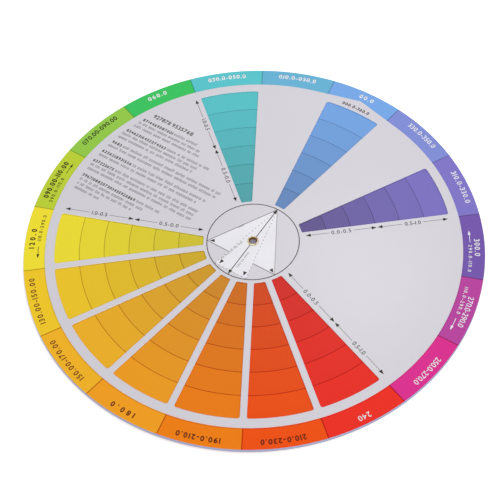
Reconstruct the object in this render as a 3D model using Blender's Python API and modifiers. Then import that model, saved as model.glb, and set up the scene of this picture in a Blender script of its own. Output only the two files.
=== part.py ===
"""Color mixing wheel: a printed round card with a windowed dial on each side, all on one brass eyelet.

Metres, +Z up. The origin is on the eyelet's axis, level with the flat of its rolled end, and the front faces +Z.
The wheel lies as it is used on a table, with the front dial's pointer up and to the right.
"""

from math import acos, asin, cos, pi, radians, sin

import bmesh
import bpy

# Sectors and their printed steps
SECTOR_COUNT = 18
STEP_COUNT = 6
STEP_LENGTH = 0.0127
WINDOW_INNER_RADIUS = 0.0254
WHEEL_TURN = radians(54.4)

# Cards
DIAL_RIM_WIDTH = 0.0048
RING_WIDTH = 0.011075
DIAL_THICKNESS = 0.0005
BOARD_THICKNESS = 0.0015
SHEET_THICKNESS = 0.00025
GLUE_LINE = 0.00005
RUNNING_GAP = 0.0003

# Dial windows and pointer
WEB_WIDTH = 0.0033
WINDOW_CORNER_RADIUS = 0.0012
POINTER_HEIGHT = 0.0032
FRONT_WINDOW_SECTORS = (0, 2, 6, 7, 8, 9, 10, 11, 12, 16)
BACK_WINDOW_SECTORS = (0, 6, 9, 12)

# Eyelet
BORE_RADIUS = 0.00205
BARREL_WALL = 0.00025
BARREL_CLEARANCE = 0.00015
FLANGE_REACH = 0.00055
FLANGE_HEIGHT = 0.00045
CLINCH_REACH = 0.0009
CLINCH_HEIGHT = 0.0005
CLINCH_CORNER_RADIUS = 0.0002

# How finely round outlines are drawn
RIM_POINTS = 180
HOLE_POINTS = 48
WINDOW_ARC_POINTS = 9
CORNER_POINTS = 5
DOME_POINTS = 9
WELD_DISTANCE = 0.000001
FLAT_ANGLE = radians(0.1)
CUT_OVERRUN = 0.001

# Sizes that follow from those above
SECTOR_TURN = 2 * pi / SECTOR_COUNT
WINDOW_OUTER_RADIUS = WINDOW_INNER_RADIUS + STEP_COUNT * STEP_LENGTH
DIAL_RADIUS = WINDOW_OUTER_RADIUS + DIAL_RIM_WIDTH
BASE_RADIUS = DIAL_RADIUS + RING_WIDTH
BARREL_RADIUS = BORE_RADIUS + BARREL_WALL
CARD_HOLE_RADIUS = BARREL_RADIUS + BARREL_CLEARANCE

# Heights of the stack's lower faces, from the eyelet's rolled end up to its flange
BACK_DIAL_Z = CLINCH_HEIGHT + RUNNING_GAP
BACK_SHEET_Z = BACK_DIAL_Z + DIAL_THICKNESS + RUNNING_GAP
BOARD_Z = BACK_SHEET_Z + SHEET_THICKNESS + GLUE_LINE
FRONT_SHEET_Z = BOARD_Z + BOARD_THICKNESS + GLUE_LINE
FRONT_DIAL_Z = FRONT_SHEET_Z + SHEET_THICKNESS + RUNNING_GAP
FLANGE_Z = FRONT_DIAL_Z + DIAL_THICKNESS + RUNNING_GAP

# Colours
DIAL_GREY = (0.66, 0.65, 0.70)
BOARD_GREY = (0.46, 0.46, 0.58)
BRASS = (0.72, 0.52, 0.22)
WHITE = (1.0, 1.0, 1.0)

# The 18 hues, from the sector under the pointer round to the left
HUES = (
    (0.19, 0.41, 0.80),
    (0.12, 0.42, 0.65),
    (0.08, 0.55, 0.60),
    (0.05, 0.55, 0.13),
    (0.29, 0.58, 0.07),
    (0.49, 0.67, 0.05),
    (0.87, 0.73, 0.04),
    (0.86, 0.58, 0.04),
    (0.86, 0.44, 0.03),
    (0.86, 0.34, 0.02),
    (0.84, 0.21, 0.02),
    (0.87, 0.08, 0.02),
    (0.84, 0.04, 0.03),
    (0.73, 0.04, 0.27),
    (0.50, 0.06, 0.34),
    (0.19, 0.12, 0.44),
    (0.22, 0.19, 0.58),
    (0.22, 0.28, 0.66),
)
STEP_SHADE_SHARE = 0.09
BACK_TINT_SHARE = 0.45


def clear_scene():
    for old in list(bpy.data.objects):
        bpy.data.objects.remove(old, do_unlink=True)


def polar(radius, angle):
    return (radius * cos(angle), radius * sin(angle))


def arc(centre, radius, start, end, points):
    """Points from start to end around centre, both ends included."""
    turn = (end - start) / (points - 1)
    return [
        (centre[0] + radius * cos(start + turn * i), centre[1] + radius * sin(start + turn * i))
        for i in range(points)
    ]


def circle(radius, points):
    return [polar(radius, 2 * pi * i / points) for i in range(points)]


def dial_outline(pointer_angle):
    """A circle with a shallow peak, whose flanks leave the circle as tangents."""
    peak_radius = DIAL_RADIUS + POINTER_HEIGHT
    flank_turn = acos(DIAL_RADIUS / peak_radius)
    rim = arc((0, 0), DIAL_RADIUS, pointer_angle + flank_turn, pointer_angle + 2 * pi - flank_turn, RIM_POINTS)
    return [polar(peak_radius, pointer_angle)] + rim


def window_outline(middle_angle):
    """A sector of the step rings, set in from its neighbours by half a web, with round corners."""
    half_turn = SECTOR_TURN / 2
    set_in = WEB_WIDTH / 2 + WINDOW_CORNER_RADIUS
    outer_centre_radius = WINDOW_OUTER_RADIUS - WINDOW_CORNER_RADIUS
    inner_centre_radius = WINDOW_INNER_RADIUS + WINDOW_CORNER_RADIUS
    outer_turn = half_turn - asin(set_in / outer_centre_radius)
    inner_turn = half_turn - asin(set_in / inner_centre_radius)
    left = middle_angle + half_turn + pi / 2
    right = middle_angle - half_turn + 3 * pi / 2
    outer_left = middle_angle + outer_turn
    outer_right = middle_angle - outer_turn
    inner_left = middle_angle + inner_turn
    inner_right = middle_angle - inner_turn

    def corner(centre_radius, centre_angle, start, end):
        return arc(polar(centre_radius, centre_angle), WINDOW_CORNER_RADIUS, start, end, CORNER_POINTS)

    outer_edge = arc((0, 0), WINDOW_OUTER_RADIUS, outer_right, outer_left, WINDOW_ARC_POINTS)
    inner_edge = arc((0, 0), WINDOW_INNER_RADIUS, inner_left, inner_right, WINDOW_ARC_POINTS)
    return (
        outer_edge[1:-1]
        + corner(outer_centre_radius, outer_left, outer_left, left)
        + corner(inner_centre_radius, inner_left, left, inner_left + pi)
        + inner_edge[1:-1]
        + corner(inner_centre_radius, inner_right, inner_right + pi, right)
        + corner(outer_centre_radius, outer_right, right, outer_right + 2 * pi)
    )


def eyelet_profile():
    """The eyelet's wall as a closed outline: over the flange, down the barrel, round the clinch and up the bore."""
    flange_radius = BARREL_RADIUS + FLANGE_REACH
    dome_middle = (BORE_RADIUS + flange_radius) / 2
    dome_half_width = (flange_radius - BORE_RADIUS) / 2
    dome_turn = pi / (DOME_POINTS - 1)
    dome = [
        (dome_middle - dome_half_width * cos(dome_turn * i), FLANGE_Z + FLANGE_HEIGHT * sin(dome_turn * i))
        for i in range(DOME_POINTS)
    ]
    clinch_radius = BARREL_RADIUS + CLINCH_REACH
    corner_height = CLINCH_CORNER_RADIUS
    outer_corner = (clinch_radius - CLINCH_CORNER_RADIUS, corner_height)
    inner_corner = (BORE_RADIUS + CLINCH_CORNER_RADIUS, corner_height)
    return (
        dome
        + [(BARREL_RADIUS, FLANGE_Z), (BARREL_RADIUS, CLINCH_HEIGHT), (clinch_radius, CLINCH_HEIGHT)]
        + arc(outer_corner, CLINCH_CORNER_RADIUS, 0, -pi / 2, CORNER_POINTS)
        + arc(inner_corner, CLINCH_CORNER_RADIUS, -pi / 2, -pi, CORNER_POINTS)
    )


def flat_shape(name, outline, lower_face, thickness, collection):
    """The outline as a closed mesh of one thickness."""
    curve = bpy.data.curves.new(name, "CURVE")
    curve.dimensions = "2D"
    curve.fill_mode = "BOTH"
    curve.extrude = thickness / 2
    spline = curve.splines.new("POLY")
    spline.points.add(len(outline) - 1)
    for point, (x, y) in zip(spline.points, outline):
        point.co = (x, y, 0, 1)
    spline.use_cyclic_u = True
    drawn = bpy.data.objects.new(name + "_outline", curve)
    drawn.location.z = lower_face + thickness / 2
    collection.objects.link(drawn)
    bpy.context.view_layer.update()
    graph = bpy.context.evaluated_depsgraph_get()
    mesh = bpy.data.meshes.new_from_object(drawn.evaluated_get(graph))
    mesh.name = name
    weld = bmesh.new()
    weld.from_mesh(mesh)
    bmesh.ops.remove_doubles(weld, verts=weld.verts, dist=WELD_DISTANCE)
    bmesh.ops.dissolve_limit(weld, angle_limit=FLAT_ANGLE, verts=weld.verts, edges=weld.edges)
    weld.to_mesh(mesh)
    weld.free()
    shape = bpy.data.objects.new(name, mesh)
    shape.matrix_world = drawn.matrix_world
    collection.objects.link(shape)
    bpy.data.objects.remove(drawn)
    return shape


def make_cutter(shape):
    shape.hide_render = True
    shape.display_type = "WIRE"


def barrel_hole_cutter(collection):
    """A cylinder through the whole stack, where the eyelet's barrel passes."""
    mesh = bpy.data.meshes.new("barrel_hole_cutter")
    cylinder = bmesh.new()
    height = FLANGE_Z + 2 * CUT_OVERRUN
    bmesh.ops.create_cone(
        cylinder,
        cap_ends=True,
        segments=HOLE_POINTS,
        radius1=CARD_HOLE_RADIUS,
        radius2=CARD_HOLE_RADIUS,
        depth=height,
    )
    cylinder.to_mesh(mesh)
    cylinder.free()
    cutter = bpy.data.objects.new("barrel_hole_cutter", mesh)
    cutter.location.z = FLANGE_Z / 2
    collection.objects.link(cutter)
    make_cutter(cutter)
    return cutter


def cut_card(name, outline, lower_face, thickness, holes, collection, cutters):
    """A card of the given outline, with the eyelet's hole and any other holes cut through it."""
    card = flat_shape(name, outline, lower_face, thickness, collection)
    own_cutters = bpy.data.collections.new(name + "_cutters")
    cutters.children.link(own_cutters)
    own_cutters.objects.link(cutters.objects["barrel_hole_cutter"])
    for number, hole in enumerate(holes, start=1):
        cutter = flat_shape(
            f"{name}_window_cutter_{number:02d}",
            hole,
            lower_face - CUT_OVERRUN,
            thickness + 2 * CUT_OVERRUN,
            own_cutters,
        )
        make_cutter(cutter)
    cut = card.modifiers.new("holes", "BOOLEAN")
    cut.operation = "DIFFERENCE"
    cut.operand_type = "COLLECTION"
    cut.collection = own_cutters
    cut.solver = "EXACT"
    return card


def turned_piece(name, profile, collection):
    """A closed profile in the XZ plane, turned about Z."""
    mesh = bpy.data.meshes.new(name)
    edges = [(i, (i + 1) % len(profile)) for i in range(len(profile))]
    mesh.from_pydata([(x, 0, z) for x, z in profile], edges, [])
    piece = bpy.data.objects.new(name, mesh)
    collection.objects.link(piece)
    screw = piece.modifiers.new("turn", "SCREW")
    screw.axis = "Z"
    screw.steps = HOLE_POINTS
    screw.render_steps = HOLE_POINTS
    screw.use_smooth_shade = True
    return piece


def plain_material(name, colour, roughness, metallic=0.0):
    material = bpy.data.materials.new(name)
    material.use_nodes = True
    surface = material.node_tree.nodes["Principled BSDF"]
    surface.inputs["Base Color"].default_value = (*colour, 1)
    surface.inputs["Roughness"].default_value = roughness
    surface.inputs["Metallic"].default_value = metallic
    return material


def ramp_of(nodes, colours, band_share):
    """A colour ramp of plain bands, each the same share of its length."""
    node = nodes.new("ShaderNodeValToRGB")
    ramp = node.color_ramp
    ramp.interpolation = "CONSTANT"
    ramp.elements.remove(ramp.elements[-1])
    ramp.elements[0].color = (*colours[0], 1)
    for i, colour in enumerate(colours[1:], start=1):
        ramp.elements.new(i * band_share).color = (*colour, 1)
    return node


def printed_material(name, hues, first_edge, roughness):
    """The hues in equal sectors, each darkened a step at a time from the rim inwards."""
    material = plain_material(name, WHITE, roughness)
    nodes = material.node_tree.nodes
    link = material.node_tree.links.new
    place = nodes.new("ShaderNodeTexCoord")
    turn = nodes.new("ShaderNodeMapping")
    turn.vector_type = "TEXTURE"
    turn.inputs["Rotation"].default_value[2] = first_edge + pi
    around = nodes.new("ShaderNodeTexGradient")
    around.gradient_type = "RADIAL"
    hue_ramp = ramp_of(nodes, hues, 1 / SECTOR_COUNT)
    shrink = nodes.new("ShaderNodeMapping")
    shrink.inputs["Scale"].default_value = [1 / WINDOW_OUTER_RADIUS] * 3
    inwards = nodes.new("ShaderNodeTexGradient")
    inwards.gradient_type = "SPHERICAL"
    shade_levels = [1 - STEP_SHADE_SHARE * i for i in range(STEP_COUNT)]
    step_ramp = ramp_of(nodes, [(level,) * 3 for level in shade_levels], STEP_LENGTH / WINDOW_OUTER_RADIUS)
    darken = nodes.new("ShaderNodeVectorMath")
    darken.operation = "MULTIPLY"
    link(place.outputs["Object"], turn.inputs["Vector"])
    link(turn.outputs["Vector"], around.inputs["Vector"])
    link(around.outputs["Fac"], hue_ramp.inputs["Fac"])
    link(place.outputs["Object"], shrink.inputs["Vector"])
    link(shrink.outputs["Vector"], inwards.inputs["Vector"])
    link(inwards.outputs["Fac"], step_ramp.inputs["Fac"])
    link(hue_ramp.outputs["Color"], darken.inputs[0])
    link(step_ramp.outputs["Color"], darken.inputs[1])
    link(darken.outputs["Vector"], nodes["Principled BSDF"].inputs["Base Color"])
    return material


def make_base(collection, cutters):
    """The board and the printed sheet mounted on each side of it."""
    outline = circle(BASE_RADIUS, RIM_POINTS)
    board = cut_card("base_board", outline, BOARD_Z, BOARD_THICKNESS, [], collection, cutters)
    board.data.materials.append(plain_material("board_grey", BOARD_GREY, 0.9))
    tints = [tuple(part + (1 - part) * BACK_TINT_SHARE for part in hue) for hue in reversed(HUES)]
    sheets = (
        ("base_front_sheet", FRONT_SHEET_Z, HUES, WHEEL_TURN - SECTOR_TURN / 2),
        ("base_back_sheet", BACK_SHEET_Z, tints, pi - WHEEL_TURN + SECTOR_TURN / 2),
    )
    for name, lower_face, hues, first_edge in sheets:
        sheet = cut_card(name, outline, lower_face, SHEET_THICKNESS, [], collection, cutters)
        sheet.data.materials.append(printed_material(name + "_print", hues, first_edge, 0.3))


def make_dial(name, lower_face, pointer_angle, window_sectors, collection, cutters):
    """A dial whose windows stand over whole sectors, counted to the left from its pointer."""
    windows = [window_outline(pointer_angle + sector * SECTOR_TURN) for sector in window_sectors]
    outline = dial_outline(pointer_angle)
    dial = cut_card(name, outline, lower_face, DIAL_THICKNESS, windows, collection, cutters)
    dial.data.materials.append(plain_material(name + "_grey", DIAL_GREY, 0.35))


def make_eyelet(collection):
    eyelet = turned_piece("eyelet", eyelet_profile(), collection)
    eyelet.data.materials.append(plain_material("eyelet_brass", BRASS, 0.25, 1.0))


def main():
    clear_scene()
    wheel = bpy.data.collections.new("color_mixing_wheel")
    cutters = bpy.data.collections.new("cutters")
    bpy.context.scene.collection.children.link(wheel)
    bpy.context.scene.collection.children.link(cutters)
    barrel_hole_cutter(cutters)
    make_base(wheel, cutters)
    make_dial("front_dial", FRONT_DIAL_Z, WHEEL_TURN, FRONT_WINDOW_SECTORS, wheel, cutters)
    make_dial("back_dial", BACK_DIAL_Z, pi - WHEEL_TURN, BACK_WINDOW_SECTORS, wheel, cutters)
    make_eyelet(wheel)


main()
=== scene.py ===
from math import acos, atan2, cos, hypot, pi, radians, sin
from random import Random

import bmesh
import bpy
from mathutils import Matrix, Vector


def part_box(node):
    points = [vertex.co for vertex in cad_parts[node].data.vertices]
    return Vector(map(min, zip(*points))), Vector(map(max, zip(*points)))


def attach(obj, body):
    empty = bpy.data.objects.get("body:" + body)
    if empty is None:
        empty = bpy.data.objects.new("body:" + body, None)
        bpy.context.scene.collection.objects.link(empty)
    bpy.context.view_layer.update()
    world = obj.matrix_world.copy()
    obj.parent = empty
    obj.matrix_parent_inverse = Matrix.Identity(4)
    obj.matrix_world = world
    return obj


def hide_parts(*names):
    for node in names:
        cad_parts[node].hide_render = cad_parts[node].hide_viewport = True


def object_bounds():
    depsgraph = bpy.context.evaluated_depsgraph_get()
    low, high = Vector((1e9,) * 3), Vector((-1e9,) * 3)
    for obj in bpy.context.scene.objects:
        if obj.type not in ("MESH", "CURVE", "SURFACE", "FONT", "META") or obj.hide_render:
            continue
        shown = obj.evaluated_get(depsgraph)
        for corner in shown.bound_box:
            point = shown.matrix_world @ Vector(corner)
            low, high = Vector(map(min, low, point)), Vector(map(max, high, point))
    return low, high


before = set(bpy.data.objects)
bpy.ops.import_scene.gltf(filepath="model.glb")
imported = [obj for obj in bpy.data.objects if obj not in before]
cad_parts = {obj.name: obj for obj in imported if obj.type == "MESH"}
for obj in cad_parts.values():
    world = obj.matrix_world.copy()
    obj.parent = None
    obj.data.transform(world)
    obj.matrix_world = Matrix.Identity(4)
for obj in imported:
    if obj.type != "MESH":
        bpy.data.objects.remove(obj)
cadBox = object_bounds()
print("frame loaded")

# Lengths are metres and angles radians. The origin is on the eyelet's axis, level with its rolled end.
# Everything on the back is first made as if it were on the front, and then turned over about Y.
wheel = {
    "sectors": 18,
    "steps": 6,
    "stepLength": 0.0127,
    "innerRadius": 0.0254,
    "rimWidth": 0.0048,
    "turn": radians(54.4),  # the pointer and the middle of the first hue
    "segments": 360,
}
sectorTurn = 2 * pi / wheel["sectors"]
outerRadius = wheel["innerRadius"] + wheel["steps"] * wheel["stepLength"]
dialRadius = outerRadius + wheel["rimWidth"]
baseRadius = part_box("base_board")[1].x
# the hole for the eyelet's barrel, which is the inner wall of the board
holeRadius = min(hypot(v.co.x, v.co.y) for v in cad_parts["base_board"].data.vertices)
sides = {
    "front": {
        "sheet": "base_front_sheet",
        "dial": "front_dial",
        "windows": (0, 2, 6, 7, 8, 9, 10, 11, 12, 16),  # sectors, counted to the left from the pointer
    },
    "back": {"sheet": "base_back_sheet", "dial": "back_dial", "windows": (0, 6, 9, 12)},
}


def onFace(node, side):
    # the node's lower and upper face, as if its side were the front
    low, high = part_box(node)
    return (low.z, high.z) if side == "front" else (-high.z, -low.z)


# Selecting and editing

editing = {
    "tolerance": 0.00001,
    "mergeDistance": 0.000001,
    "cornerAngle": radians(40),  # corners sharper than this are rounded
    "punchSegments": 96,
    "punchDepth": 0.01,
}


def selectNothing():
    bpy.ops.object.select_all(action="DESELECT")


def selectOnly(piece):
    selectNothing()
    piece.select_set(True)
    bpy.context.view_layer.objects.active = piece


def startEdit(piece):
    selectOnly(piece)
    bpy.ops.object.mode_set(mode="EDIT")
    bpy.ops.mesh.select_all(action="SELECT")


def endEdit():
    bpy.ops.object.mode_set(mode="OBJECT")


def nameNew(name):
    piece = bpy.context.object
    piece.name = name
    piece.data.name = name
    return piece


def pickEdges(piece, wanted):
    bpy.ops.mesh.select_mode(type="EDGE")
    bpy.ops.mesh.select_all(action="DESELECT")
    mesh = bmesh.from_edit_mesh(piece.data)
    for edge in mesh.edges:
        edge.select_set(wanted(edge))
    bmesh.update_edit_mesh(piece.data)


def applyPlace(piece):
    selectOnly(piece)
    bpy.ops.object.transform_apply(location=True, rotation=True, scale=True)


def applyModifier(piece, kind, **settings):
    selectOnly(piece)
    bpy.ops.object.modifier_add(type=kind)
    modifier = piece.modifiers[-1]
    for setting, value in settings.items():
        setattr(modifier, setting, value)
    bpy.ops.object.modifier_apply(modifier=modifier.name)


def roundEdges(piece, width, segments):
    applyModifier(
        piece,
        "BEVEL",
        width=width,
        segments=segments,
        limit_method="ANGLE",
        angle_limit=editing["cornerAngle"],
        use_clamp_overlap=False,
    )


def turnOver(piece):
    selectOnly(piece)
    bpy.ops.transform.rotate(value=pi, orient_axis="Y", center_override=(0, 0, 0))
    applyPlace(piece)


def placedCopy(shape, place, turn=0.0, scale=(1, 1)):
    copy = shape.copy()
    copy.data = shape.data.copy()
    bpy.context.collection.objects.link(copy)
    copy.data.transform(
        Matrix.Translation((*place, 0)) @ Matrix.Rotation(turn, 4, "Z") @ Matrix.Diagonal((*scale, 1, 1))
    )
    return copy


def joinAll(pieces):
    # into the first of them
    selectNothing()
    for piece in pieces:
        piece.select_set(True)
    bpy.context.view_layer.objects.active = pieces[0]
    if len(pieces) > 1:
        bpy.ops.object.join()


def makePunch(height):
    # cuts the eyelet's hole in what lies at a height
    selectNothing()
    bpy.ops.mesh.primitive_cylinder_add(
        vertices=editing["punchSegments"],
        radius=holeRadius,
        depth=editing["punchDepth"],
        location=(0, 0, height),
    )
    punch = bpy.context.object
    applyPlace(punch)
    return punch


def cutAway(piece, cutter):
    applyModifier(piece, "BOOLEAN", operation="DIFFERENCE", object=cutter, solver="EXACT")
    bpy.data.objects.remove(cutter)


def faceMaterials(piece, flatMaterial, edgeMaterial, flatness):
    # the flat faces take one finish and what was cut takes the other
    piece.data.materials.clear()
    piece.data.materials.append(flatMaterial)
    piece.data.materials.append(edgeMaterial)
    for face in piece.data.polygons:
        face.material_index = 0 if abs(face.normal.z) > flatness else 1


def finishPiece(piece, side, body, node=None):
    if side == "back":
        turnOver(piece)
    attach(piece, body)
    if node:
        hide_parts(node)


# Building materials

def screenColour(code):
    # linear red, green and blue of a hex colour as a screen shows it
    parts = [int(code[i:i + 2], 16) / 255 for i in (0, 2, 4)]
    return tuple(part / 12.92 if part <= 0.04045 else ((part + 0.055) / 1.055) ** 2.4 for part in parts)


def setInputs(tree, node, inputs):
    # each input is joined to another node's output or set to a plain value
    for socket, value in inputs.items():
        if isinstance(value, bpy.types.NodeSocket):
            tree.links.new(value, node.inputs[socket])
        else:
            node.inputs[socket].default_value = value


def addNode(tree, kind, inputs=None, **settings):
    node = tree.nodes.new(kind)
    for setting, value in settings.items():
        setattr(node, setting, value)
    setInputs(tree, node, inputs or {})
    return node


def calculate(tree, operation, first, second=0.0):
    return addNode(tree, "ShaderNodeMath", {0: first, 1: second}, operation=operation).outputs[0]


def between(tree, value, low, high, start=0.0, stop=1.0):
    # goes from low to high as the value goes from start to stop
    ends = {"Value": value, "From Min": start, "From Max": stop, "To Min": low, "To Max": high}
    return addNode(tree, "ShaderNodeMapRange", ends).outputs[0]


def lengthOf(tree, vector):
    return addNode(tree, "ShaderNodeVectorMath", {0: vector}, operation="LENGTH").outputs["Value"]


def blendColours(tree, mode, share, first, second):
    node = addNode(tree, "ShaderNodeMix", data_type="RGBA", blend_type=mode)
    first, second = [(*colour, 1) if isinstance(colour, tuple) else colour for colour in (first, second)]
    setInputs(tree, node, {0: share, 6: first, 7: second})  # 6 and 7 are its colour sockets
    return node.outputs[2]


def blendCodes(tree, share, codes):
    return blendColours(tree, "MIX", share, *[screenColour(code) for code in codes])


def newMaterial(name):
    material = bpy.data.materials.new(name)
    material.use_nodes = True
    tree = material.node_tree
    place = addNode(tree, "ShaderNodeTexCoord").outputs["Object"]
    return material, tree, tree.nodes["Principled BSDF"], place


grain = {
    "detail": 3.0,
    "patches": 30,  # how many times larger a mottle's soft patches are than its fine grain
    "mottleRange": (0.6, 1.4),  # where the two together are darkest and lightest
}


def noise(tree, place, size, stretch=(1, 1, 1)):
    # a grain whose features are about this many metres across
    scale = [1 / size / s for s in stretch]
    stretched = addNode(tree, "ShaderNodeMapping", {"Vector": place, "Scale": scale}).outputs[0]
    texture = {"Vector": stretched, "Scale": 1.0, "Detail": grain["detail"]}
    return addNode(tree, "ShaderNodeTexNoise", texture).outputs["Fac"]


def addBump(tree, shader, height, distance):
    bump = addNode(tree, "ShaderNodeBump", {"Height": height, "Distance": distance, "Strength": 1.0})
    setInputs(tree, shader, {"Normal": bump.outputs[0]})


def mottle(tree, place, colour, amount, size):
    # the colour a little lighter and darker in soft patches and in fine grain
    patches = noise(tree, place, size * grain["patches"])
    both = calculate(tree, "ADD", patches, noise(tree, place, size))
    level = between(tree, both, 1 - amount, 1 + amount, *grain["mottleRange"])
    return addNode(tree, "ShaderNodeVectorMath", {0: colour, "Scale": level}, operation="SCALE").outputs[0]


laminate = {"roughness": (0.2, 0.26), "grain": 0.0006, "ripple": 0.000004}


def laminatedPrint(tree, shader, place, colour, finish):
    # mottled ink under a clear film, which has a soft gloss and a faint ripple
    ripple = noise(tree, place, laminate["grain"])
    setInputs(tree, shader, {
        "Base Color": mottle(tree, place, colour, finish["mottle"], finish["grain"]),
        "Roughness": between(tree, ripple, *laminate["roughness"]),
        "Specular IOR Level": finish["gloss"],
    })
    addBump(tree, shader, ripple, laminate["ripple"])


# One ink for each hue, going round to the left from the pointer, and how much grey is in its innermost step
hueInks = {
    "blue": ("78A8E5", 0.4),
    "greenBlue": ("6AB2D3", 0.39),
    "blueGreen": ("5CC4CB", 0.37),
    "green": ("3EC361", 0.35),
    "yellowGreen": ("94C94B", 0.34),
    "greenYellow": ("BDD13A", 0.33),
    "yellow": ("F2E137", 0.32),
    "orangeYellow": ("F2CA2C", 0.33),
    "yellowOrange": ("F3B52A", 0.33),
    "orange": ("F3A123", 0.34),
    "redOrange": ("F18114", 0.33),
    "orangeRed": ("F15312", 0.3),
    "red": ("EE3125", 0.28),
    "violetRed": ("DC3191", 0.34),
    "redViolet": ("B8469F", 0.37),
    "violet": ("7659AC", 0.44),
    "blueViolet": ("8177C7", 0.56),
    "violetBlue": ("828ED4", 0.44),
}
printing = {
    "grey": (0.065, 0.04, 0.045),
    "lineWidth": 0.0003,
    "edgeWidth": 0.00045,
    "lineSoftness": 0.00004,
    "lineShade": (0.52, 0.52, 0.52),
    "warmLineShade": (0.5, 0.0, 0.0),
    "backTint": 0.45,
    "mottle": 0.012,
    "grain": 0.0008,
    "gloss": 0.05,
}


def inkRamp(tree, share, tint):
    # the hues one after another, each with its share of grey as its alpha
    ramp = addNode(tree, "ShaderNodeValToRGB", {"Fac": share})
    stops = ramp.color_ramp
    stops.interpolation = "CONSTANT"
    stops.elements.remove(stops.elements[1])
    for i, (code, greyShare) in enumerate(hueInks.values()):
        stop = stops.elements.new(i / len(hueInks)) if i else stops.elements[0]
        stop.color = (*[part + (1 - part) * tint for part in screenColour(code)], greyShare)
    return ramp.outputs


def wheelPrint(side):
    material, tree, shader, place = newMaterial(side + "WheelPrint")
    mirror = 1 if side == "front" else -1
    firstEdge = wheel["turn"] - sectorTurn / 2
    turned = {"Vector": place, "Scale": (mirror, 1, 0), "Rotation": (0, 0, pi - firstEdge)}
    flat = addNode(tree, "ShaderNodeMapping", turned).outputs[0]
    around = addNode(tree, "ShaderNodeTexGradient", {"Vector": flat}, gradient_type="RADIAL").outputs["Fac"]
    radius = lengthOf(tree, flat)
    sectorPlace = calculate(tree, "MULTIPLY", around, wheel["sectors"])
    # the ramp reads the middle of each sector, so that the hues change exactly where two sectors meet
    sectorMiddle = calculate(tree, "ADD", calculate(tree, "FLOOR", sectorPlace), 0.5)
    sectorShare = calculate(tree, "DIVIDE", sectorMiddle, wheel["sectors"])
    hue = inkRamp(tree, sectorShare, printing["backTint"] if side == "back" else 0)
    inwards = calculate(tree, "DIVIDE", calculate(tree, "SUBTRACT", outerRadius, radius), wheel["stepLength"])
    stepNumber = calculate(tree, "CEIL", calculate(tree, "MAXIMUM", inwards, 0.0))
    stepShare = calculate(tree, "MINIMUM", calculate(tree, "DIVIDE", stepNumber, wheel["steps"]), 1.0)
    greyShare = calculate(tree, "MULTIPLY", stepShare, hue["Alpha"])
    shaded = blendColours(tree, "MIX", greyShare, hue["Color"], printing["grey"])
    # thin lines between the steps and between the sectors, with none at either end of the steps
    inSteps = calculate(tree, "MINIMUM", calculate(tree, "MAXIMUM", inwards, 0.5), wheel["steps"] - 0.5)
    fromRing = calculate(tree, "MULTIPLY", calculate(tree, "PINGPONG", inSteps, 0.5), wheel["stepLength"])
    halfWidth = printing["lineWidth"] / 2
    turnFromEdge = calculate(tree, "MULTIPLY", calculate(tree, "PINGPONG", sectorPlace, 0.5), sectorTurn)
    fromEdge = calculate(tree, "MULTIPLY", turnFromEdge, radius)
    fromWideEdge = calculate(tree, "SUBTRACT", fromEdge, printing["edgeWidth"] / 2 - halfWidth)
    fromLine = calculate(tree, "MINIMUM", fromRing, fromWideEdge)
    line = between(tree, fromLine, 1, 0, halfWidth, halfWidth + printing["lineSoftness"])
    # the redder the hue, the redder its lines
    parts = addNode(tree, "ShaderNodeSeparateColor", {0: hue["Color"]}).outputs
    warmth = calculate(tree, "MAXIMUM", calculate(tree, "SUBTRACT", parts[0], parts[1]), 0.0)
    lineShade = blendColours(tree, "MIX", warmth, printing["lineShade"], printing["warmLineShade"])
    ruled = blendColours(tree, "MULTIPLY", line, shaded, lineShade)
    laminatedPrint(tree, shader, place, ruled, printing)
    return material


dialFinish = {"colours": ("D3D0D7", "D0CDD5"), "patch": 0.05, "mottle": 0.01, "grain": 0.0009, "gloss": 0.4}


def dialPrint():
    material, tree, shader, place = newMaterial("dialGreyPrint")
    grey = blendCodes(tree, noise(tree, place, dialFinish["patch"]), dialFinish["colours"])
    laminatedPrint(tree, shader, place, grey, dialFinish)
    return material


def roughCard(tree, shader, fibres, finish):
    setInputs(tree, shader, {
        "Base Color": blendCodes(tree, fibres, finish["colours"]),
        "Roughness": finish["roughness"],
        "Specular IOR Level": finish["gloss"],
    })
    addBump(tree, shader, fibres, finish["bump"])


edgeFinish = {
    "colours": ("F1F0F6", "FFFFFF"),
    "fibre": 0.0003,
    "stretch": (1, 1, 0.25),
    "roughness": 0.85,
    "gloss": 0.2,
    "bump": 0.00003,
}


def cardEdge():
    # the white fibre that shows where card is cut
    material, tree, shader, place = newMaterial("cutCardEdge")
    fibres = noise(tree, place, edgeFinish["fibre"], edgeFinish["stretch"])
    roughCard(tree, shader, fibres, edgeFinish)
    return material


boardFinish = {
    "colours": ("9CA6CC", "C2CAE8"),
    "ply": 0.0011,
    "stretch": (1, 1, 0.16),
    "fibre": 0.00025,
    "roughness": 0.9,
    "gloss": 0.15,
    "bump": 0.00005,
}


def pulpBoard():
    # grey board made of pressed pulp, whose plies show as fine streaks along its edge
    material, tree, shader, place = newMaterial("pulpBoard")
    plies = noise(tree, place, boardFinish["ply"], boardFinish["stretch"])
    fibres = noise(tree, place, boardFinish["fibre"])
    streaks = calculate(tree, "MULTIPLY", calculate(tree, "ADD", plies, fibres), 0.5)
    roughCard(tree, shader, streaks, boardFinish)
    return material


brassFinish = {
    "colours": ("EBDDB8", "9C7B4A"),  # worn bright in some places and browned in others
    "patch": 0.0009,
    "patchRange": (0.42, 0.6),
    "scratch": 0.00012,
    "stretch": (1, 1, 6),
    "roughness": (0.18, 0.38),
    "bump": 0.00001,
}


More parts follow.
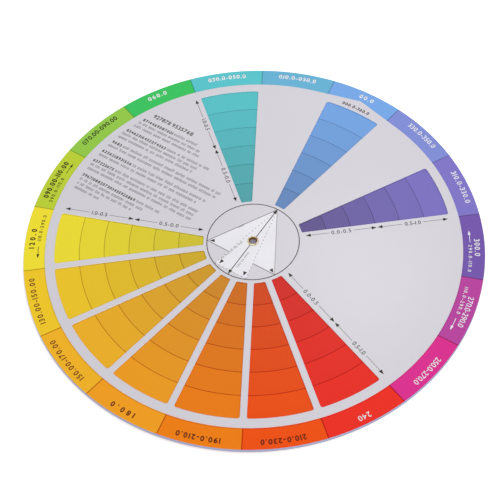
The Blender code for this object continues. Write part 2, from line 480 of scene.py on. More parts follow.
def brass():
    material, tree, shader, place = newMaterial("eyeletBrass")
    tarnish = between(tree, noise(tree, place, brassFinish["patch"]), 0, 1, *brassFinish["patchRange"])
    scratches = noise(tree, place, brassFinish["scratch"], brassFinish["stretch"])
    setInputs(tree, shader, {
        "Base Color": blendCodes(tree, tarnish, brassFinish["colours"]),
        "Metallic": 1,
        "Roughness": between(tree, scratches, *brassFinish["roughness"]),
    })
    addBump(tree, shader, scratches, brassFinish["bump"])
    return material


boreFinish = {
    "browns": ("7A5424", "A07A44"),
    # the painted light of the table on the lower bore
    "grey": "CFCBDA",
    "brownDepth": 0.0014,
    "patch": 0.0006,
    "stretch": (1, 1, 3),
    "metallic": 0.4,
    "roughness": (0.4, 0.6),
}


def boreWall():
    # the inside of the barrel: brown with tarnish and painted shade under its lip, and greyer lower down,
    # which is painted light from the table below
    material, tree, shader, place = newMaterial("eyeletBoreWall")
    tarnish = noise(tree, place, boreFinish["patch"], boreFinish["stretch"])
    brown = blendCodes(tree, tarnish, boreFinish["browns"])
    height = addNode(tree, "ShaderNodeSeparateXYZ", {0: place}).outputs["Z"]
    low, high = (corner.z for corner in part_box("eyelet"))
    # tarnished brown with painted shade near the lip, blending into the painted light of the grey lower down
    depth = between(tree, height, 0, 1, high - boreFinish["brownDepth"], (low + high) / 2)
    setInputs(tree, shader, {
        "Base Color": blendColours(tree, "MIX", depth, brown, screenColour(boreFinish["grey"])),
        "Metallic": boreFinish["metallic"],
        "Roughness": between(tree, tarnish, *boreFinish["roughness"]),
    })
    return material


inkFinish = {"mottle": 0.05, "grain": 0.0005, "gloss": 0.1}
inkColours = {
    "dark": "3E3935",
    "line": "6E6A68",
    "fine": "8C898A",
    "note": "3C393C",
    "pale": "A9A7AB",
    "white": "EEEDF2",
    "paperWhite": "E8E7ED",
    "brown": "281C0F",
    "rust": "6A220E",
}


def ink(name, code):
    material, tree, shader, place = newMaterial(name)
    laminatedPrint(tree, shader, place, screenColour(code), inkFinish)
    return material


dialMaterial = dialPrint()
cutEdge = cardEdge()
inks = {name: ink(name + "Ink", code) for name, code in inkColours.items()}
print("materials made")

# The board and its two printed sheets

cards = {
    "boardRounding": 0.00012,
    "sheetRounding": 0.00008,
    "dialRounding": 0.00006,
    "roundingSteps": 2,
    "smoothAngle": radians(15),
    # the share of a face's normal that has to stand upright for the face to be printed
    "sheetFlatness": 0.95,
    "dialFlatness": 0.5,
}


def softenCard(card, rounding):
    roundEdges(card, rounding, cards["roundingSteps"])
    bpy.ops.object.shade_smooth_by_angle(angle=cards["smoothAngle"])


def makeRoundCard(name, low, high, rounding):
    selectNothing()
    bpy.ops.mesh.primitive_circle_add(vertices=wheel["segments"], radius=baseRadius, location=(0, 0, low))
    card = nameNew(name)
    applyPlace(card)
    startEdit(card)
    shrink = holeRadius / baseRadius
    bpy.ops.mesh.extrude_edges_move()
    bpy.ops.transform.resize(value=(shrink, shrink, 1), center_override=(0, 0, low))
    bpy.ops.mesh.select_all(action="SELECT")
    bpy.ops.mesh.extrude_region_move(TRANSFORM_OT_translate={"value": (0, 0, high - low)})
    bpy.ops.mesh.select_all(action="SELECT")
    bpy.ops.mesh.normals_make_consistent(inside=False)
    endEdit()
    softenCard(card, rounding)
    return card


board = makeRoundCard("pulpBoardDisc", *onFace("base_board", "front"), cards["boardRounding"])
boardMaterial = pulpBoard()
board.data.materials.append(boardMaterial)
finishPiece(board, "front", "base", node="base_board")

for side, spec in sides.items():
    printed = makeRoundCard(side + "PrintedSheet", *onFace(spec["sheet"], side), cards["sheetRounding"])
    # trimmed with the board, and as grey as its edge
    faceMaterials(printed, wheelPrint(side), boardMaterial, cards["sheetFlatness"])
    finishPiece(printed, side, "base", node=spec["sheet"])
print("board and sheets made")

# The dials

dial = {
    "pointerHeight": 0.0032,
    "webWidth": 0.0033,
    "innerCorner": 0.0007,
    "outerCorner": 0.0012,
    "cornerSteps": 6,
    "windowSteps": 20,
    "cutOverrun": 0.001,
}


def makeWindowCutter(low, high):
    # a tapered block along +X, with its upright corners rounded, then bent round the wheel's centre
    inner = wheel["innerRadius"]
    innerWidth = inner * sectorTurn - dial["webWidth"]
    outerWidth = outerRadius * sectorTurn - dial["webWidth"]
    selectNothing()
    bpy.ops.mesh.primitive_cube_add(
        size=1,
        location=((inner + outerRadius) / 2, 0, (low + high) / 2),
        scale=(outerRadius - inner, outerWidth, high - low + 2 * dial["cutOverrun"]),
    )
    cutter = nameNew("windowCutter")
    applyPlace(cutter)
    startEdit(cutter)
    pickEdges(cutter, lambda edge: all(v.co.x < (inner + outerRadius) / 2 for v in edge.verts))
    bpy.ops.transform.resize(value=(1, innerWidth / outerWidth, 1), center_override=(inner, 0, 0))
    for corner, end in (("innerCorner", inner), ("outerCorner", outerRadius)):
        # the upright edges at this end
        pickEdges(cutter, lambda edge: all(abs(v.co.x - end) < editing["tolerance"] for v in edge.verts)
                  and abs(edge.verts[0].co.z - edge.verts[1].co.z) > high - low)
        bpy.ops.mesh.bevel(offset=dial[corner], segments=dial["cornerSteps"], affect="EDGES")
    # the long level edges across each end become arcs
    pickEdges(cutter, lambda edge: abs(edge.verts[0].co.y - edge.verts[1].co.y) > innerWidth / 4
              and abs(edge.verts[0].co.x - edge.verts[1].co.x) < dial["outerCorner"])
    bpy.ops.mesh.subdivide(number_cuts=dial["windowSteps"])
    endEdit()
    for vertex in cutter.data.vertices:
        radius = vertex.co.x
        turn = vertex.co.y / radius
        vertex.co.x = radius * cos(turn)
        vertex.co.y = radius * sin(turn)
    return cutter


def makeDial(side, windows):
    node = sides[side]["dial"]
    low, high = onFace(node, side)
    selectNothing()
    bpy.ops.mesh.primitive_cylinder_add(
        vertices=wheel["segments"],
        radius=dialRadius,
        depth=high - low,
        location=(0, 0, (low + high) / 2),
        rotation=(0, 0, wheel["turn"]),
    )
    card = nameNew(side + "WindowDial")
    applyPlace(card)
    # the rim is drawn out to the pointer, whose flanks leave the circle as tangents
    flankTurn = acos(dialRadius / (dialRadius + dial["pointerHeight"]))
    for vertex in card.data.vertices:
        angle = (atan2(vertex.co.y, vertex.co.x) - wheel["turn"] + pi) % (2 * pi) - pi
        if abs(angle) < flankTurn:
            stretch = 1 / cos(flankTurn - abs(angle))
            vertex.co.x *= stretch
            vertex.co.y *= stretch
    pattern = makeWindowCutter(low, high)
    cutters = [placedCopy(pattern, (0, 0), wheel["turn"] + sector * sectorTurn) for sector in windows]
    bpy.data.objects.remove(pattern)
    cutters.append(makePunch(low))
    joinAll(cutters)
    cutAway(card, cutters[0])
    softenCard(card, cards["dialRounding"])
    faceMaterials(card, dialMaterial, cutEdge, cards["dialFlatness"])
    finishPiece(card, side, node, node=node)


for side, spec in sides.items():
    makeDial(side, spec["windows"])
print("dials made")

# The eyelet

eyelet = {
    "segments": 96,
    "bore": 0.00205,
    "wall": 0.00025,
    "flangeReach": 0.00055,
    "flangeHeight": 0.00045,
    "clinchReach": 0.0009,
    "clinchHeight": 0.0005,
    "arcSteps": 12,
    "splits": 8,
    "splitDepth": 0.00018,
    "splitWidthShare": 0.125,  # of the way from one split to the next, on either side
    "paintedShadeReach": 0.00018,  # how far the bore's dark brown, which is painted shade, comes up over its lips
    "smoothAngle": radians(50),
}


def halfRound(edge, height, rise):
    # half an oval, from the bore out to an edge
    steps = eyelet["arcSteps"]
    middle = (eyelet["bore"] + edge) / 2
    half = (edge - eyelet["bore"]) / 2
    return [
        (middle - half * cos(pi * i / steps), height + rise * sin(pi * i / steps))
        for i in range(steps + 1)
    ]


def makeEyelet():
    low, high = (corner.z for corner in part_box("eyelet"))
    barrel = eyelet["bore"] + eyelet["wall"]
    flangeZ = high - eyelet["flangeHeight"]
    clinchZ = low + eyelet["clinchHeight"]
    dome = halfRound(barrel + eyelet["flangeReach"], flangeZ, eyelet["flangeHeight"])
    roll = halfRound(barrel + eyelet["clinchReach"], clinchZ, low - clinchZ)
    profile = dome + [(barrel, flangeZ), (barrel, clinchZ)] + roll[::-1]
    start = (0, 0, profile[0][1])
    selectNothing()
    bpy.ops.mesh.primitive_circle_add(vertices=eyelet["segments"], radius=profile[0][0], location=start)
    piece = nameNew("rolledEyelet")
    applyPlace(piece)
    startEdit(piece)
    for (lastRadius, lastHeight), (radius, height) in zip(profile, profile[1:]):
        bpy.ops.mesh.extrude_edges_move(TRANSFORM_OT_translate={"value": (0, 0, height - lastHeight)})
        grow = radius / lastRadius
        bpy.ops.transform.resize(value=(grow, grow, 1), center_override=(0, 0, height))
    pickEdges(piece, lambda edge: edge.is_boundary)
    bpy.ops.mesh.bridge_edge_loops()
    bpy.ops.mesh.select_all(action="SELECT")
    bpy.ops.mesh.normals_make_consistent(inside=False)
    endEdit()
    # the rolled end splits a little as it is clinched
    turn = 2 * pi / eyelet["splits"]
    for vertex in piece.data.vertices:
        radius = hypot(vertex.co.x, vertex.co.y)
        if vertex.co.z > clinchZ or radius < barrel:
            continue
        offset = (atan2(vertex.co.y, vertex.co.x) + turn / 2) % turn - turn / 2
        reach = (radius - barrel) / eyelet["clinchReach"]
        closeness = max(0, 1 - abs(offset) / (turn * eyelet["splitWidthShare"]))
        pull = 1 - reach * eyelet["splitDepth"] / radius * closeness
        vertex.co.x *= pull
        vertex.co.y *= pull
    selectOnly(piece)
    bpy.ops.object.shade_smooth_by_angle(angle=eyelet["smoothAngle"])
    piece.data.materials.append(brass())
    piece.data.materials.append(boreWall())
    # the bore and the inner slopes of its lips take the bore's finish, whose brown is partly painted shade
    for face in piece.data.polygons:
        if hypot(face.center.x, face.center.y) < eyelet["bore"] + eyelet["paintedShadeReach"]:
            face.material_index = 1
    finishPiece(piece, "front", "base", node="eyelet")


makeEyelet()
print("eyelet made")

# Marks printed on the cards. Each is drawn flat, in a frame whose +Y runs to the pointer, and then given the
# thickness of a film of ink.

film = {"sunk": 0.00002, "rise": 0.00002, "layer": 0.00001, "circleSegments": 180, "letterSteps": 4}


def stepFrom(start, direction, distance):
    return start[0] + distance * cos(direction), start[1] + distance * sin(direction)


def onPoint(radius, angle):
    return stepFrom((0, 0), angle, radius)


def lineBetween(start, end):
    # its length and direction
    across, up = end[0] - start[0], end[1] - start[1]
    return hypot(across, up), atan2(up, across)


def keepMark(name, scale=(1, 1)):
    mark = nameNew(name)
    mark.scale = (*scale, 1)
    applyPlace(mark)
    return mark


def stroke(start, end, width):
    length, direction = lineBetween(start, end)
    middle = ((start[0] + end[0]) / 2, (start[1] + end[1]) / 2, 0)
    selectNothing()
    bpy.ops.mesh.primitive_plane_add(size=1, location=middle, rotation=(0, 0, direction))
    return keepMark("stroke", (length, width))


def dashes(start, end, width, dash, gap):
    span, direction = lineBetween(start, end)
    count = round((span + gap) / (dash + gap))
    pitch = (span + gap) / count
    first = stroke(start, stepFrom(start, direction, dash), width)
    return [first] + [placedCopy(first, stepFrom((0, 0), direction, pitch * n)) for n in range(1, count)]


def triangle(tip, direction, length, width):
    # an isosceles triangle with its tip at a place, pointing in a direction; it starts with equal sides in
    # a circle of radius 1, which makes it 1.5 long and the root of 3 wide
    selectNothing()
    bpy.ops.mesh.primitive_circle_add(vertices=3, radius=1, fill_type="NGON", rotation=(0, 0, -pi / 2))
    mark = keepMark("triangle")
    startEdit(mark)
    bpy.ops.transform.translate(value=(-1, 0, 0))
    bpy.ops.transform.resize(value=(length / 1.5, width / 3 ** 0.5, 1), center_override=(0, 0, 0))
    endEdit()
    mark.location = (*tip, 0)
    mark.rotation_euler = (0, 0, direction)
    applyPlace(mark)
    return mark


def ringLine(radius, width):
    selectNothing()
    bpy.ops.mesh.primitive_circle_add(vertices=film["circleSegments"], radius=radius + width / 2)
    mark = keepMark("ringLine")
    startEdit(mark)
    shrink = (radius - width / 2) / (radius + width / 2)
    bpy.ops.mesh.extrude_edges_move()
    bpy.ops.transform.resize(value=(shrink, shrink, 1), center_override=(0, 0, 0))
    endEdit()
    return mark


def shapeBox(shape):
    xs = [v.co.x for v in shape.data.vertices]
    ys = [v.co.y for v in shape.data.vertices]
    return min(xs), min(ys), max(xs), max(ys)


signOffsets = {"heavy": 0.034, "bold": 0.018, "medium": 0.008}  # how far each weight swells the font
signShapes = {}
noughtHeights = {}


def signShape(sign, weight):
    # one figure, made once and centred; a nought is 1 high and the others are in scale with it
    if (sign, weight) not in signShapes:
        selectNothing()
        bpy.ops.object.text_add()
        words = bpy.context.object
        words.data.body = sign
        words.data.offset = signOffsets[weight]
        words.data.resolution_u = film["letterSteps"]
        selectOnly(words)
        bpy.ops.object.convert(target="MESH")
        shape = keepMark("figure" + sign)
        left, low, right, high = shapeBox(shape)
        if sign == "0":
            noughtHeights[weight] = (low, high)
        elif weight not in noughtHeights:
            signShape("0", weight)
        low, high = noughtHeights[weight]
        centre = Matrix.Translation((-(left + right) / 2, -(low + high) / 2, 0))
        shape.data.transform(Matrix.Scale(1 / (high - low), 4) @ centre)
        signShapes[sign, weight] = shape
    return signShapes[sign, weight]


def lettering(text, weight, height, length, follow):
    # figures spread over a length; follow gives the place and the turn at a distance along it
    shapes = [signShape(sign, weight) for sign in text]
    boxes = [shapeBox(shape) for shape in shapes]
    widths = [(right - left) * height for left, _, right, _ in boxes]
    gap = (length - sum(widths)) / (len(text) - 1)
    marks = []
    along = -length / 2
    for shape, width in zip(shapes, widths):
        place, turn = follow(along + width / 2)
        marks.append(placedCopy(shape, place, turn, (height, height)))
        along += width + gap
    return marks


def roundArc(radius, angle):
    # the tops of the figures face outwards, so they are read clockwise
    return lambda along: (onPoint(radius, angle - along / radius), angle - along / radius - pi / 2)


def alongLine(middle, direction):
    return lambda along: (stepFrom(middle, direction, along), direction)


def makeInk(side, name, marks, colour, layer=0, card="dial", pierced=False):
    # joins flat marks into one film on the side's dial or sheet; the eyelet goes through a pierced one
    node = sides[side][card]
    face = onFace(node, side)[1]
    joinAll(marks)
    piece = nameNew(side + name)
    piece.location = (0, 0, face - film["sunk"])
    piece.rotation_euler = (0, 0, wheel["turn"] - pi / 2)
    applyPlace(piece)
    startEdit(piece)
    bpy.ops.mesh.remove_doubles(threshold=editing["mergeDistance"])
    thickness = film["sunk"] + film["rise"] + layer * film["layer"]
    bpy.ops.mesh.extrude_region_move(TRANSFORM_OT_translate={"value": (0, 0, thickness)})
    bpy.ops.mesh.select_all(action="SELECT")
    bpy.ops.mesh.normals_make_consistent(inside=False)
    endEdit()
    if pierced:
        cutAway(piece, makePunch(face))
    piece.data.materials.clear()
    piece.data.materials.append(inks[colour])
    finishPiece(piece, side, node if card == "dial" else "base")


# Figures round the ring: every third hue gives a turn in degrees, and the others a range

ring = {
    "labelRadius": 0.1136,
    "labelHeight": 0.0029,
    # for each sector: how far its label is moved clockwise, how long it is, its weight and how its numbers
    # are written
    "labels": (
        (0.0014, 0.0086, "heavy", "04.1f"),
        (0, 0.021, "heavy", "05.1f"),
        (0, 0.0212, "heavy", "05.1f"),
        (-0.0009, 0.0112, "heavy", "05.1f"),
        (-0.0003, 0.025, "bold", "06.2f"),
        (-0.0005, 0.0254, "heavy", "06.2f"),
        (-0.0003, 0.0124, "heavy", "05.1f"),
        (0.0004, 0.0282, "bold", "06.2f"),
        (0.001, 0.0272, "bold", "06.2f"),
        (0.0006, 0.0134, "heavy", "05.1f"),
        (0.001, 0.0215, "heavy", "05.1f"),
        (0.0004, 0.0217, "heavy", "05.1f"),
        (0.0001, 0.0065, "medium", "03.0f"),
        (0.0005, 0.0184, "medium", "05.1f"),
        (0.0008, 0.0186, "medium", "05.1f"),
        (0.0008, 0.0105, "bold", "05.1f"),
        (0.0012, 0.0215, "bold", "05.1f"),
        (0.0011, 0.0204, "bold", "05.1f"),
    ),
    "brownSectors": range(4, 7),
    "rustSectors": range(7, 12),
    "noteRadius": 0.1101,
    "noteHeight": 0.0019,
    "noteLength": 0.0164,
    "noteWords": ("290.0-110.0", "110.0-290.0"),
    # for each sector with a second line: its words, how many degrees round they and their arrow are, and
    # the way that the arrow points
    "notes": {5: (0, 3.4, -4.6, -1), 6: (1, -3.4, 4.6, 1), 14: (1, 2.6, -5.1, -1), 15: (0, -3.9, 3.1, 1)},
    "arrowLength": 0.0074,
    "arrowWidth": 0.0003,
    "headSize": (0.0026, 0.0014),
}


def sectorAngle(sector):
    return pi / 2 + sector * sectorTurn


def ringLabel(sector):
    shift, length, weight, written = ring["labels"][sector]
    half = 180 // wheel["sectors"]
    middle = 2 * half * sector
    numbers = (middle,) if sector % 3 == 0 else (middle - half, middle + half)
    text = "-".join(format(number, written) for number in numbers)
    arc = roundArc(ring["labelRadius"], sectorAngle(sector) - shift / ring["labelRadius"])
    return lettering(text, weight, ring["labelHeight"], length, arc)


def ringNote(sector):
    words, wordsOffset, arrowOffset, way = ring["notes"][sector]
    arc = roundArc(ring["noteRadius"], sectorAngle(sector) + radians(wordsOffset))
    marks = lettering(ring["noteWords"][words], "bold", ring["noteHeight"], ring["noteLength"], arc)
    arrowAngle = sectorAngle(sector) + radians(arrowOffset)
    centre = onPoint(ring["noteRadius"], arrowAngle)
    direction = arrowAngle + way * pi / 2
    half = ring["arrowLength"] / 2
    tail, neck, tip = (
        stepFrom(centre, direction, distance) for distance in (-half, half - ring["headSize"][0], half)
    )
    return marks + [stroke(tail, neck, ring["arrowWidth"]), triangle(tip, direction, *ring["headSize"])]


def ringInk(side, sector):
    if side == "back" or sector in ring["brownSectors"]:
        return "brown"
    return "rust" if sector in ring["rustSectors"] else "white"


def makeRing(side):
    groups = {}
    for sector in range(wheel["sectors"]):
        marks = groups.setdefault(ringInk(side, sector), [])
        marks += ringLabel(sector)
        if side == "front" and sector in ring["notes"]:
            marks += ringNote(sector)
    for colour, marks in groups.items():
        makeInk(side, colour.capitalize() + "RingFigures", marks, colour, card="sheet")


for side in sides:
    makeRing(side)
print("ring figures made")

# Double arrows beside some windows, and figures in the gaps of their lines

measures = {
    # where each pair starts and stops; the two arrows of a pair meet half way
    "front": (
        ((-0.0780, 0.0638), (-0.0212, 0.0169)),
        ((0.0212, 0.0169), (0.0780, 0.0638)),
        ((-0.0950, -0.0330), (-0.0255, -0.0072)),
        ((0.0255, -0.0072), (0.0950, -0.0330)),
    ),
    "back": (
        ((-0.0950, -0.0330), (-0.0255, -0.0072)),
        ((0.0255, -0.0072), (0.0950, -0.0330)),
    ),
    "lineWidth": 0.00026,
    "headSize": (0.0026, 0.002),
    "shares": ("0.0", "0.5", "1.0"),  # how light the steps are at the hub, half way out and at the rim
    "wordLengths": (0.0102, 0.0083),  # on the inner and on the outer arrow
    "wordHeight": 0.0023,
    "wordMargin": 0.0012,
    "meetingGap": 0.0002,
}


def measurePair(start, end):
    span, direction = lineBetween(start, end)

    def at(distance):
        return stepFrom(start, direction, distance)

    heads, lines, words = [], [], []
    half = span / 2
    # the figures run from left to right, which is inwards on the left half of the dial
    inwards = hypot(*end) < hypot(*start)
    shares = measures["shares"][::-1] if inwards else measures["shares"]
    for n in (0, 1):
        first = n * (half + measures["meetingGap"])
        last = first + half - measures["meetingGap"]
        middle = (first + last) / 2
        head = measures["headSize"][0]
        heads.append(triangle(at(first), direction + pi, *measures["headSize"]))
        heads.append(triangle(at(last), direction, *measures["headSize"]))
        length = measures["wordLengths"][(n == 0) == inwards]
        room = length / 2 + measures["wordMargin"]
        lines.append(stroke(at(first + head), at(middle - room), measures["lineWidth"]))
        lines.append(stroke(at(middle + room), at(last - head), measures["lineWidth"]))
        text = shares[n] + "-" + shares[n + 1]
        words += lettering(text, "medium", measures["wordHeight"], length, alongLine(at(middle), direction))
    return heads, lines, words


def makeMeasures(side):
    heads, lines, words = [], [], []
    for start, end in measures[side]:
        parts = measurePair(start, end)
        heads += parts[0]
        lines += parts[1]
        words += parts[2]
    makeInk(side, "ArrowHeads", heads, "dark")
    makeInk(side, "ArrowLines", lines, "line")
    makeInk(side, "ArrowFigures", words, "dark")


for side in sides:
    makeMeasures(side)
print("arrows made")

# The diagram round the eyelet: a circle, two white triangles and the lines that join related hues

diagram = {
    "circleRadius": 0.0236,
    "circleWidth": 0.00044,
    "reach": 0.0233,
    "splitHalfWidth": 0.0093,
    "splitFoot": -0.0212,
    "edgeWidth": 0.0003,
    "paleEdgeWidth": 0.0004,
    "axisWidth": 0.00044,
    "footGap": 0.0076,
    "dash": 0.0008,
    "dashGap": 0.0014,
    "dashWidth": 0.0003,
    "headSize": (0.0026, 0.002),
    "headInset": 0.0011,
    "splitHead": (0.0073, -0.0204),
    "hubGap": 0.0031,
}


def makeDiagram(side):
    reach = diagram["reach"]
    rightTurn, leftTurn = -pi / 6, pi + pi / 6
    right, left = onPoint(reach, rightTurn), onPoint(reach, leftTurn)
    top, foot = (0, reach), (0, -reach)
    splitRight = (diagram["splitHalfWidth"], diagram["splitFoot"])
    splitLeft = (-diagram["splitHalfWidth"], diagram["splitFoot"])
    triad = triangle(top, pi / 2, reach * 1.5, reach * 3 ** 0.5)
    split = triangle(top, pi / 2, reach - diagram["splitFoot"], 2 * diagram["splitHalfWidth"])
    makeInk(side, "DiagramTriad", [triad], "paperWhite", pierced=True)
    makeInk(side, "DiagramSplit", [split], "paperWhite", layer=1, pierced=True)
    # the triad's foot only shows on either side of the narrow triangle
    gap = diagram["footGap"]
    edges = [
        stroke(left, top, diagram["edgeWidth"]),
        stroke(left, (-gap, left[1]), diagram["edgeWidth"]),
        stroke((gap, right[1]), right, diagram["edgeWidth"]),
    ]
    makeInk(side, "DiagramEdges", edges, "dark", layer=2)
    makeInk(side, "DiagramPaleEdge", [stroke(right, top, diagram["paleEdgeWidth"])], "pale", layer=2)
    dashed = []
    for start, end in ((top, splitLeft), (top, splitRight), (splitLeft, splitRight)):
        dashed += dashes(start, end, diagram["dashWidth"], diagram["dash"], diagram["dashGap"])
    makeInk(side, "DiagramDashes", dashed, "fine", layer=2)
    hub = diagram["hubGap"]
    dark = [
        ringLine(diagram["circleRadius"], diagram["circleWidth"]),
        stroke((0, hub), top, diagram["axisWidth"]),
        stroke(foot, (0, -hub), diagram["axisWidth"]),
    ]
    makeInk(side, "DiagramCircle", dark, "dark", layer=3)
    splitTurn = atan2(splitRight[1] - reach, splitRight[0])
    headReach = reach - diagram["headInset"]
    headX, headY = diagram["splitHead"]
    heads = [triangle(tip, turn, *diagram["headSize"]) for tip, turn in (
        (top, pi / 2),
        (foot, -pi / 2),
        (onPoint(headReach, rightTurn), rightTurn),
        (onPoint(headReach, leftTurn), leftTurn),
        ((headX, headY), splitTurn),
        ((-headX, headY), pi - splitTurn),
    )]
    makeInk(side, "DiagramHeads", heads, "dark", layer=4)


for side in sides:
    makeDiagram(side)
print("diagrams made")

# Small print: figures for its heading and the start of each paragraph, and rows of plain blocks for the rest

smallPrint = {
    "letterWidth": 0.6,  # this and the next three are shares of the letters' height
    "letterGap": 0.3,
    "wordGap": 0.75,
    "tall": 0.45,
    "wordLetters": (2, 9),  # the fewest and the most in a word
    "letterWeights": (6, 2, 2),  # how often each of the three shapes comes up
    "leadGap": 0.001,
    # the height of the letters and the width of their strokes
    "plain": (0.0013, 0.00018),
    "tiny": (0.0008, 0.00016),
    # the height of a figure, the length each takes up and their weight
    "lead": (0.0019, 0.0015, "heavy"),
    "heading": (0.0026, 0.0019, "bold"),
    # how high the heading stands, and where each of its groups of figures starts and stops
    "headingRow": {
        "front": (0.0426, ((-0.0915, -0.0804), (-0.0793, -0.0658))),
        "back": (0.0405, ((-0.0780, -0.0580),)),
    },
    # for each row: how high it stands, where it starts, where its bold lead-in stops and where it stops
    "front": (
        (0.0375, -0.0950, -0.0755, -0.0590),
        (0.0345, -0.0960, -0.0960, -0.0560),
        (0.0315, -0.0970, -0.0970, -0.0540),
        (0.0269, -0.0985, -0.0730, -0.0450),
        (0.0239, -0.0995, -0.0995, -0.0495),
        (0.0209, -0.1000, -0.1000, -0.0505),
        (0.0163, -0.1005, -0.0945, -0.0310),
        (0.0132, -0.1010, -0.1010, -0.0320),
        (0.0085, -0.1015, -0.0825, -0.0350),
        (0.0054, -0.1015, -0.1015, -0.0390),
        (0.0008, -0.1018, -0.0885, -0.0340),
        (-0.0022, -0.1015, -0.1015, -0.0336),
        (-0.0052, -0.1012, -0.1012, -0.0340),
        (-0.0100, -0.1010, -0.0670, -0.0510),
        (-0.0131, -0.1005, -0.1005, -0.0595),
        (-0.0161, -0.1000, -0.1000, -0.0655),
        (-0.0191, -0.0995, -0.0995, -0.0835),
    ),
    "back": (
        (0.0355, -0.0840, -0.0700, -0.0420),
        (0.0325, -0.0860, -0.0860, -0.0400),
        (0.0295, -0.0880, -0.0880, -0.0520),
        (0.0245, -0.0900, -0.0740, -0.0380),
        (0.0215, -0.0920, -0.0920, -0.0360),
        (0.0185, -0.0930, -0.0930, -0.0480),
        (0.0355, 0.0420, 0.0560, 0.0840),
        (0.0325, 0.0400, 0.0400, 0.0860),
        (0.0295, 0.0400, 0.0400, 0.0760),
        (0.0245, 0.0380, 0.0520, 0.0900),
        (0.0215, 0.0360, 0.0360, 0.0920),
        (0.0185, 0.0360, 0.0360, 0.0800),
    ),
    # beside the diagram's lines: where each short row starts and stops
    "tinyRows": (
        ((-0.0111, 0.0034), (-0.0094, 0.0063)),
        ((-0.0079, -0.0176), (-0.0045, -0.0030)),
        ((0.0018, -0.0176), (0.0018, -0.0060)),
    ),
}
letterShapes = {}


def shapesFor(style):
    # three shapes and their widths, made once: a hollow block, a short stem and a tall stem
    if style in letterShapes:
        return letterShapes[style]
    height, strokeWidth = smallPrint[style]
    width = height * smallPrint["letterWidth"]
    foot, head = (0, -height / 2), (0, height / 2)
    selectNothing()
    bpy.ops.mesh.primitive_plane_add(size=1)
    hollow = keepMark("hollowLetter", (width, height))
    startEdit(hollow)
    bpy.ops.mesh.inset(thickness=strokeWidth)
    bpy.ops.mesh.delete(type="FACE")
    endEdit()
    short = stroke(foot, head, strokeWidth)
    tall = stroke(foot, (0, head[1] + height * smallPrint["tall"]), strokeWidth)
    letterShapes[style] = {hollow: width, short: strokeWidth, tall: strokeWidth}
    return letterShapes[style]


def printRow(random, style, start, stop):
    height = smallPrint[style][0]
    shapes = shapesFor(style)
    span, direction = lineBetween(start, stop)
    marks = []
    along = 0
    while along < span - height * smallPrint["letterWidth"]:
        for _ in range(random.randint(*smallPrint["wordLetters"])):
            shape = random.choices(list(shapes), weights=smallPrint["letterWeights"])[0]
            width = shapes[shape]
            if along + width > span:
                break
            marks.append(placedCopy(shape, stepFrom(start, direction, along + width / 2), direction))
            along += width + height * smallPrint["letterGap"]
        along += height * smallPrint["wordGap"]
    return marks


def figureRow(random, style, start, stop, height):
    figureHeight, pitch, weight = smallPrint[style]
    count = round((stop - start) / pitch)
    text = "".join(random.choice("0123456789") for _ in range(count))
    return lettering(text, weight, figureHeight, stop - start, alongLine(((start + stop) / 2, height), 0))


def makeSmallPrint(side):
    random = Random(side)
    height, groups = smallPrint["headingRow"][side]
    plain, bold = [], []
    for start, stop in groups:
        bold += figureRow(random, "heading", start, stop, height)
    for height, start, leadEnd, stop in smallPrint[side]:
        if leadEnd > start:
            bold += figureRow(random, "lead", start, leadEnd, height)
            leadEnd += smallPrint["leadGap"]
        plain += printRow(random, "plain", (leadEnd, height), (stop, height))
    tiny = [mark for row in smallPrint["tinyRows"] for mark in printRow(random, "tiny", *row)]
    makeInk(side, "SmallPrint", plain, "note")
    makeInk(side, "LeadFigures", bold, "dark")
    makeInk(side, "DiagramWords", tiny, "fine", layer=2)


for side in sides:
    makeSmallPrint(side)
for shapes in letterShapes.values():
    for shape in shapes:
        bpy.data.objects.remove(shape)
print("small print made")

# The figures over the pointer window

pointerLabel = {"text": "000.0-360.0", "radius": 0.1042, "height": 0.0021, "length": 0.0165}

for side in sides:
    arc = roundArc(pointerLabel["radius"], pi / 2)
    figures = lettering(pointerLabel["text"], "heavy", pointerLabel["height"], pointerLabel["length"], arc)
    makeInk(side, "PointerFigures", figures, "dark")
for shape in signShapes.values():
    bpy.data.objects.remove(shape)
print("pointer figures made")

# The stage: a white floor, soft light and the camera

stage = {
    "floorSize": 6.0,
    "floorShade": 0.8,
    "floorLift": 0.54,
    "floorFade": 0.003,
    "worldLight": 0.45,
    "paintedShadowShift": (0.0011, 0.0006, 0.0),  # the painted shadow lies a little to the lower left
    # for each light: its place, its size and its power
    "sheen": ((0.131, 0.457, 0.752), 0.12, 0.2),
    "lamp": ((0.052, 0.1, 0.3), 0.2, 0.252),
    "key": ((0.5, -2.2, 3.0), 2.3, 67.0),
    "cameraPlace": (-0.002, -0.4044, 0.5756),
    "cameraTilt": radians(34.946),
    "cameraRoll": radians(-3.532),
    "cameraTurn": radians(-0.026),
    "cameraLens": 98.77,
    "cameraSensor": 36,
    "cameraClip": (0.01, 20),
}


def seenDirectly(tree):
    # 1 for what the camera sees, straight, in a mirror or through glass, and 0 for what lights the object
    path = addNode(tree, "ShaderNodeLightPath").outputs
    mirrored = calculate(tree, "MAXIMUM", path["Is Camera Ray"], path["Is Glossy Ray"])
    return calculate(tree, "MAXIMUM", mirrored, path["Is Transmission Ray"])


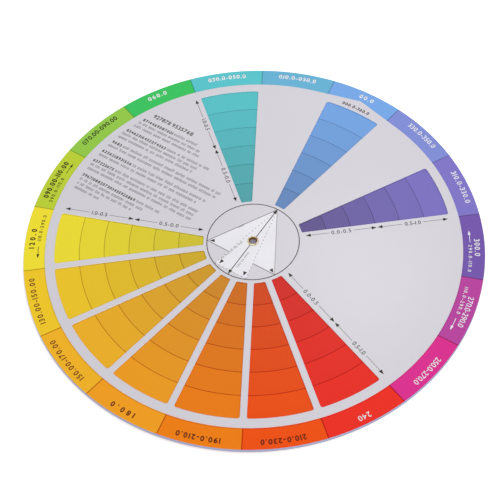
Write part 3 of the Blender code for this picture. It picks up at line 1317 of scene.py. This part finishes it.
def makeFloor():
    selectNothing()
    bpy.ops.mesh.primitive_plane_add(size=stage["floorSize"], location=(0, 0, cadBox[0].z))
    floor = nameNew("floor")
    applyPlace(floor)
    material = bpy.data.materials.new("whiteFloor")
    material.use_nodes = True
    tree = material.node_tree
    tree.nodes.clear()
    matt = addNode(tree, "ShaderNodeBsdfDiffuse", {"Color": (*[stage["floorShade"]] * 3, 1)})
    # it glows a little where the camera sees it, but not in a disc under the wheel set a little to the lower
    # left:
    # that disc is painted shade, so that the wheel's shadow and the eyelet's bore look dark
    place = addNode(tree, "ShaderNodeTexCoord").outputs["Object"]
    shift = {0: place, 1: stage["paintedShadowShift"]}
    shifted = addNode(tree, "ShaderNodeVectorMath", shift, operation="ADD").outputs[0]
    # the glow fades in over the last few millimetres to the rim, which is the soft edge of the painted shade
    fadeStart = baseRadius - stage["floorFade"]
    lift = between(tree, lengthOf(tree, shifted), 0, stage["floorLift"], fadeStart, baseRadius)
    strength = calculate(tree, "MULTIPLY", lift, seenDirectly(tree))
    glow = addNode(tree, "ShaderNodeEmission", {"Strength": strength})
    both = addNode(tree, "ShaderNodeAddShader", {0: matt.outputs[0], 1: glow.outputs[0]})
    addNode(tree, "ShaderNodeOutputMaterial", {"Surface": both.outputs[0]})
    floor.data.materials.append(material)


def makeLight():
    world = bpy.data.worlds.new("studio")
    bpy.context.scene.world = world
    world.use_nodes = True
    tree = world.node_tree
    strength = between(tree, seenDirectly(tree), stage["worldLight"], 1.0)
    setInputs(tree, tree.nodes["Background"], {"Color": (1, 1, 1, 1), "Strength": strength})
    for name in ("sheen", "lamp", "key"):
        place, size, power = stage[name]
        tilt = atan2(hypot(place[0], place[1]), place[2])
        turn = atan2(place[1], place[0]) + pi / 2
        selectNothing()
        bpy.ops.object.light_add(type="AREA", location=place, rotation=(tilt, 0, turn))
        light = bpy.context.object
        light.name = name
        light.data.size = size
        light.data.energy = power
        light.visible_diffuse = name != "sheen"
        light.visible_glossy = name != "lamp"


def makeCamera():
    tilt = Matrix.Rotation(stage["cameraTilt"], 3, "X")
    aim = Matrix.Rotation(stage["cameraTurn"], 3, "Z") @ tilt @ Matrix.Rotation(stage["cameraRoll"], 3, "Z")
    bpy.ops.object.camera_add(location=stage["cameraPlace"], rotation=aim.to_euler())
    camera = bpy.context.object
    camera.data.sensor_width = stage["cameraSensor"]
    camera.data.lens = stage["cameraLens"]
    camera.data.clip_start, camera.data.clip_end = stage["cameraClip"]
    bpy.context.scene.camera = camera


makeFloor()
makeLight()
makeCamera()
bpy.context.scene.view_settings.view_transform = "Standard"
print("stage set")
